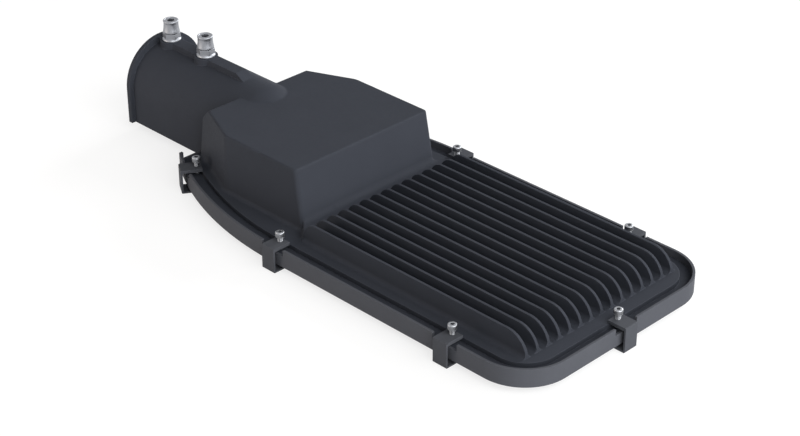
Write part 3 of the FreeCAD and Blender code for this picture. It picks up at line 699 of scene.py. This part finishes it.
def hexagon_bar(name, across_flats, foot, top):
    """A six-sided bar between two heights."""
    corner = hexagon_corner(across_flats)
    return lathe(name, hexagon_corners, (0.0, 0.0, foot), ((corner, 0.0), (corner, top - foot)))


def hexagon_cutter(across_flats, bottom, top):
    """A six-sided punch with a drilled point, for a socket that is open at its top."""
    corner = hexagon_corner(across_flats)
    point = corner * drill_depth
    length = top + cut_past - bottom + point
    profile = ((corner * drill_tip, 0.0), (corner, point), (corner, length))
    return lathe("hexagon_cutter", hexagon_corners, (0.0, 0.0, bottom - point), profile)


def knurl_side(piece):
    """Presses fine upright grooves into the side of a clip screw's head."""
    choose(piece, "FACE", is_knurled)
    bpy.ops.mesh.inset(use_individual=True, thickness=knurl_land, depth=-knurl_depth)


def screw_of(head, shank, name):
    """Joins a head and its shank."""
    screw = join_pieces([head, shank], name)
    settle(screw)
    return screw


def clip_screw():
    """A socket head screw of the clips, tip at the origin: knurled head, thread and hexagon."""
    seat = (0.0, 0.0, clip_screw_length)
    top = clip_screw_length + clip_head_height
    profile = [(clip_head_radius * share, height) for share, height in clip_head_profile]
    head = start_ring("clip_screw", knurls, profile[0][0], seat)
    draw(seat, profile)
    knurl_side(head)
    close(head)
    combine(head, hexagon_cutter(clip_hexagon, top - clip_hexagon_depth, top), "DIFFERENCE")
    length = clip_screw_length + shank_in_head
    shank = threaded_rod(clip_screw_radius, clip_thread_pitch, length, clip_thread_steps)
    return screw_of(head, shank, "clip_screw")


def clamp_screw():
    """A clamp screw of the socket, tip at the origin: waisted head with a rim and a hexagon."""
    seat = (0.0, 0.0, clamp_screw_length)
    top = clamp_screw_length + clamp_head_height
    head = lathe("clamp_screw", large_round, seat, clamp_head_profile)
    combine(head, hexagon_cutter(clamp_hexagon, top - clamp_hexagon_depth, top), "DIFFERENCE")
    length = clamp_screw_length + shank_in_head
    shank = threaded_rod(clamp_screw_radius, clamp_thread_pitch, length, clamp_thread_steps)
    return screw_of(head, shank, "clamp_screw")


def clamp_nut():
    """A flange nut from the origin up: chamfered hexagon on a washer face, bored for the screw."""
    nut = hexagon_bar("clamp_nut", nut_across_flats, nut_foot, nut_height)
    combine(nut, lathe("nut_chamfer", nut_round, origin, nut_chamfer_profile), "INTERSECT")
    combine(nut, lathe("nut_flange", large_round, origin, nut_flange_profile), "UNION")
    combine(nut, bore("nut_bore", nut_round, nut_bore, origin, nut_height), "DIFFERENCE")
    settle(nut)
    return nut


def pan_screw(radius, length, head_radius, head_height):
    """A cross-recessed screw that stands on its head's seat: thread below, domed head above."""
    profile = [(head_radius * ring, share * head_height) for ring, share in pan_profile]
    head = lathe("pan_screw", pan_round, origin, profile)
    depth = head_height * cross_depth
    middle = (0.0, 0.0, head_height - depth / 2 + cross_past)
    for along, across in ((cross_length, cross_width), (cross_width, cross_length)):
        blade = block("cross_blade", (along * head_radius, across * head_radius, depth), middle)
        choose(blade, "FACE", looks_down)
        bpy.ops.transform.resize(value=(cross_taper, cross_taper, 1.0), center_override=middle)
        close(blade)
        combine(head, blade, "DIFFERENCE")
    shank = threaded_rod(radius, radius * small_thread_pitch, length + shank_in_head, small_thread_steps)
    shank.location = (0.0, 0.0, -length)
    return screw_of(head, shank, "pan_screw")


def set_of(screw, name, places):
    """One piece of copies of a screw at (x, y, z, turn) places; the first screw is used up."""
    copies = [copied(screw, (x, y, z), turn) for x, y, z, turn in places]
    bpy.data.objects.remove(screw)
    return join_pieces(copies, name)


def make_clip_screws():
    """The screw at the light end, and the three on each side."""
    x, y, turn = end_clip_screw
    places = [(x, y, clip_screw_tip, turn)]
    for side in (-1.0, 1.0):
        for x, y, turn in side_clip_screws:
            places.append((x, side * y, clip_screw_tip, side * turn))
    screws = set_of(clip_screw(), "clip_screw_set", places)
    put_in_place(screws, "steel", stainless, "clip_screws")


def make_clamp_screws():
    """The clamp screws of the pole socket and their nuts."""
    places = [(x, 0.0, clamp_screw_tip, clamp_screw_turn) for x in clamp_xs]
    screws = set_of(clamp_screw(), "clamp_screw_set", places)
    put_in_place(screws, "steel", zinc_plate, "clamp_screws")
    places = [(x, 0.0, clamp_nut_seat, clamp_nut_turn) for x in clamp_xs]
    nuts = set_of(clamp_nut(), "clamp_nut_set", places)
    put_in_place(nuts, "steel", zinc_plate, "clamp_nuts")


# Light modules

def lens_places():
    """The middles of a module's lenses, about the module's middle."""
    places = []
    for row in (-0.5, 0.5):
        for column in range(lens_columns):
            places.append((row * lens_row_pitch, (column - (lens_columns - 1) / 2) * lens_column_pitch))
    return places


def module_screw_places():
    """The screws at the corners of a module, about its middle."""
    x, y = module_screw_corner
    return [(-x, -y), (-x, y), (x, -y), (x, y)]


def lens_dome():
    """A street lens hanging from the origin: long, oval, with a dimple in its middle."""
    dome = start_ring("lens_dome", lens_corners, 1.0, origin)
    half_length = lens_length / 2 * lens_swell
    half_width = lens_width / 2 * lens_swell
    bpy.ops.transform.rotate(value=math.pi / lens_corners, orient_axis="Z", center_override=origin)
    bpy.ops.transform.resize(value=(half_length, half_width, 1.0), center_override=origin)
    draw(origin, [(ring, -share * lens_height) for ring, share in lens_profile])
    close(dome)
    bpy.ops.object.modifier_add(type="SUBSURF")
    soften = dome.modifiers[-1]
    soften.levels = lens_smoothing
    soften.render_levels = lens_smoothing
    bpy.ops.object.modifier_apply(modifier=soften.name)
    return dome


def plate_body():
    """The clear plate of a module, with rounded corners and a chamfer round its bottom."""
    height = plate_thickness - plate_chamfer
    middle = (0.0, 0.0, board_bottom - height / 2)
    plate = block("lens_plate", (module_length, module_width, height), middle)
    round_corners(plate, plate_corner, segments=6)
    step_bottom(plate, plate_chamfer, plate_chamfer)
    close(plate)
    return plate


def plate_cutters():
    """The pockets over the chips and the holes for the screws, as one cutter."""
    cutters = []
    depth = pocket_depth + cut_past
    for x, y in lens_places():
        middle = (x, y, board_bottom - pocket_depth + depth / 2)
        pocket = block("pocket", (pocket_size, pocket_size, depth), middle)
        round_corners(pocket, pocket_corner, segments=3)
        close(pocket)
        cutters.append(pocket)
    for x, y in module_screw_places():
        foot = (x, y, lens_plate_bottom)
        cutters.append(bore("screw_hole", hole_round, plate_hole, foot, plate_thickness))
    return join_pieces(cutters, "plate_cutters")


def lens_plate():
    """A clear plate with its lenses below, a pocket over each chip and holes for the screws."""
    plate = plate_body()
    dome = lens_dome()
    domes = [copied(dome, (x, y, lens_plate_bottom + lens_sink)) for x, y in lens_places()]
    bpy.data.objects.remove(dome)
    combine(plate, join_pieces(domes, "lens_domes"), "UNION")
    combine(plate, plate_cutters(), "DIFFERENCE")
    settle(plate)
    return plate


def chip():
    """A light chip hanging from the origin: white frame with a domed yellow window."""
    base = block("chip", (chip_size, chip_size, chip_height), (0.0, 0.0, -chip_height / 2))
    round_corners(base, chip_rim, segments=2)
    step_bottom(base, chip_rim, chip_lip)
    close(base)
    window = lathe("chip_window", window_round, (0.0, 0.0, -chip_window_seat), chip_window_profile)
    whole = join_pieces([base, window], "chip")
    settle(whole)
    return whole


def make_modules():
    """The lens plates and chips of the light modules, and the screws that hold them."""
    first_plate = lens_plate()
    first_chip = chip()
    screw_places = []
    for number, x in enumerate(module_xs, start=1):
        plate = copied(first_plate, (x, 0.0, 0.0))
        plate.name = "lens_plate_clear_%d" % number
        put_in_place(plate, "lens", optic, "lens_plate_%d" % number)
        chips = [copied(first_chip, (x + dx, dy, board_bottom)) for dx, dy in lens_places()]
        put_in_place(join_pieces(chips, "chip_set_%d" % number), "chip", phosphor, "led_chips_%d" % number)
        for dx, dy in module_screw_places():
            turn = cross_turn * len(screw_places)
            screw_places.append((x + dx, dy, lens_plate_bottom, turn))
    bpy.data.objects.remove(first_plate)
    bpy.data.objects.remove(first_chip)
    screw = pan_screw(*module_screw)
    tumble(screw, upside_down)
    put_in_place(set_of(screw, "module_screw_set", screw_places), "steel", stainless, "module_screws")


# Gear tray and cable gland

def make_tray_screws():
    """The screws of the gear tray, with their heads below."""
    places = []
    for side in (-1.0, 1.0):
        for x, y in tray_screw_places:
            places.append((x, side * y, tray_bottom, cross_turn * len(places)))
    screw = pan_screw(*tray_screw)
    tumble(screw, upside_down)
    put_in_place(set_of(screw, "tray_screw_set", places), "steel", stainless, "tray_screws")


def small_screw_places(node):
    """Where a node's small screws stand: at the corners, or the two ends, of its box."""
    low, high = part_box(node)
    xs = {round(low.x + small_head_radius, place_digits), round(high.x - small_head_radius, place_digits)}
    ys = {round(low.y + small_head_radius, place_digits), round(high.y - small_head_radius, place_digits)}
    seat = high.z - small_head_height
    middles = [(x, y) for x in sorted(xs) for y in sorted(ys)]
    return [(x, y, seat, cross_turn * count) for count, (x, y) in enumerate(middles)]


def make_small_screws():
    """The screws of the parts that stand on the tray."""
    for node in ("driver_screws", "terminal_screws", "surge_screws", "cord_clamp_screws"):
        low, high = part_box(node)
        length = high.z - low.z - small_head_height
        screw = pan_screw(small_screw_radius, length, small_head_radius, small_head_height)
        put_in_place(set_of(screw, node + "_set", small_screw_places(node)), "steel", stainless, node)


def make_gland_nut():
    """The lock nut of the cable gland, chamfered on both faces."""
    low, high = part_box("gland_nut")
    length = high.x - low.x
    flat = gland_across_flats / 2
    wide = hexagon_corner(gland_across_flats) + gland_corner_gap
    nut = hexagon_bar("gland_lock_nut", gland_across_flats, 0.0, length)
    profile = ((flat, 0.0), (wide, gland_chamfer), (wide, length - gland_chamfer), (flat, length))
    combine(nut, lathe("nut_chamfer", large_round, origin, profile), "INTERSECT")
    combine(nut, bore("nut_bore", large_round, gland_bore, origin, length), "DIFFERENCE")
    tumble(nut, up_to_front)
    nut.location = (low.x, 0.0, 0.0)
    settle(nut)
    put_in_place(nut, "nylon", black_nylon, "gland_nut")


make_clip_screws()
make_clamp_screws()
make_modules()
make_tray_screws()
make_small_screws()
make_gland_nut()


# Stage

def matt(tree, tone):
    """A matt grey shader."""
    node = tree.nodes.new("ShaderNodeBsdfDiffuse")
    node.inputs["Color"].default_value = (tone, tone, tone, 1.0)
    return node.outputs["BSDF"]


def chosen_by(tree, choice, first, second):
    """The first shader where a choice is 0, and the second where it is 1."""
    node = tree.nodes.new("ShaderNodeMixShader")
    tree.links.new(choice, node.inputs["Fac"])
    tree.links.new(first, node.inputs[1])
    tree.links.new(second, node.inputs[2])
    return node.outputs["Shader"]


def on_diffuse_rays(tree, seen, lit):
    """One shader where it is seen, and another for the light that it throws on the head."""
    path = tree.nodes.new("ShaderNodeLightPath")
    return chosen_by(tree, path.outputs["Is Diffuse Ray"], seen, lit)


def glowing_floor(tree):
    """The floor as it is seen: matt, with a glow that grows away from the head."""
    place = tree.nodes.new("ShaderNodeTexCoord")
    away = tree.nodes.new("ShaderNodeVectorMath")
    away.operation = "LENGTH"
    tree.links.new(place.outputs["Object"], away.inputs[0])
    glow = tree.nodes.new("ShaderNodeEmission")
    strength = spread(tree, away.outputs["Value"], floor_sweep, floor_glow)
    tree.links.new(strength, glow.inputs["Strength"])
    both = tree.nodes.new("ShaderNodeAddShader")
    tree.links.new(matt(tree, seen_floor_grey), both.inputs[0])
    tree.links.new(glow.outputs["Emission"], both.inputs[1])
    return both.outputs["Shader"]


def floor_paper():
    """The floor's material, which is clear from below."""
    material = bpy.data.materials.new("pale_floor")
    material.use_nodes = True
    tree = material.node_tree
    tree.nodes.clear()
    output = tree.nodes.new("ShaderNodeOutputMaterial")
    surface = tree.nodes.new("ShaderNodeNewGeometry")
    nothing = tree.nodes.new("ShaderNodeBsdfTransparent")
    seen = chosen_by(tree, surface.outputs["Backfacing"], glowing_floor(tree), nothing.outputs["BSDF"])
    tree.links.new(on_diffuse_rays(tree, seen, matt(tree, floor_grey)), output.inputs["Surface"])
    return material


def stage_floor():
    """A pale floor under the clips, white but for the head's soft shadow."""
    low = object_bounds()[0]
    bpy.ops.object.select_all(action="DESELECT")
    bpy.ops.mesh.primitive_plane_add(size=floor_size, location=(head_middle, 0.0, low.z - floor_gap))
    floor = bpy.context.active_object
    floor.name = "floor"
    floor.data.materials.append(floor_paper())


def backdrop(tree, strength):
    """A plain white background of a strength."""
    node = tree.nodes.new("ShaderNodeBackground")
    node.inputs["Color"].default_value = (*plain_white, 1.0)
    node.inputs["Strength"].default_value = strength
    return node.outputs["Background"]


def stage_world():
    """White to the camera, in metal and through glass, and a low even light on the head."""
    world = bpy.data.worlds.new("studio")
    bpy.context.scene.world = world
    world.use_nodes = True
    tree = world.node_tree
    tree.nodes.clear()
    output = tree.nodes.new("ShaderNodeOutputWorld")
    shader = on_diffuse_rays(tree, backdrop(tree, seen_light), backdrop(tree, studio_light))
    tree.links.new(shader, output.inputs["Surface"])


def stage_lamp(name, place, size, power, colour):
    """A square soft lamp that faces the middle of the head."""
    bpy.ops.object.light_add(type="AREA", location=place)
    lamp = bpy.context.active_object
    lamp.name = name
    lamp.data.size = size
    lamp.data.energy = power
    lamp.data.color = colour
    x, y, z = place
    away = math.hypot(x - head_middle, y)
    bearing = math.atan2(y, x - head_middle)
    lamp.rotation_euler = (math.atan2(away, z), 0.0, bearing + math.pi / 2)


def stage_camera():
    """The camera, from the near side of the light end."""
    bpy.ops.object.camera_add(location=camera_place)
    camera = bpy.context.active_object
    camera.rotation_euler = tuple(math.radians(turn) for turn in camera_turn)
    camera.data.lens = camera_lens
    camera.data.sensor_width = camera_sensor
    camera.data.clip_start = camera_near
    camera.data.clip_end = camera_far
    bpy.context.scene.camera = camera


stage_floor()
stage_world()
for lamp_name, settings in lamps.items():
    stage_lamp(lamp_name, *settings)
stage_camera()
bpy.context.scene.view_settings.view_transform = "Standard"
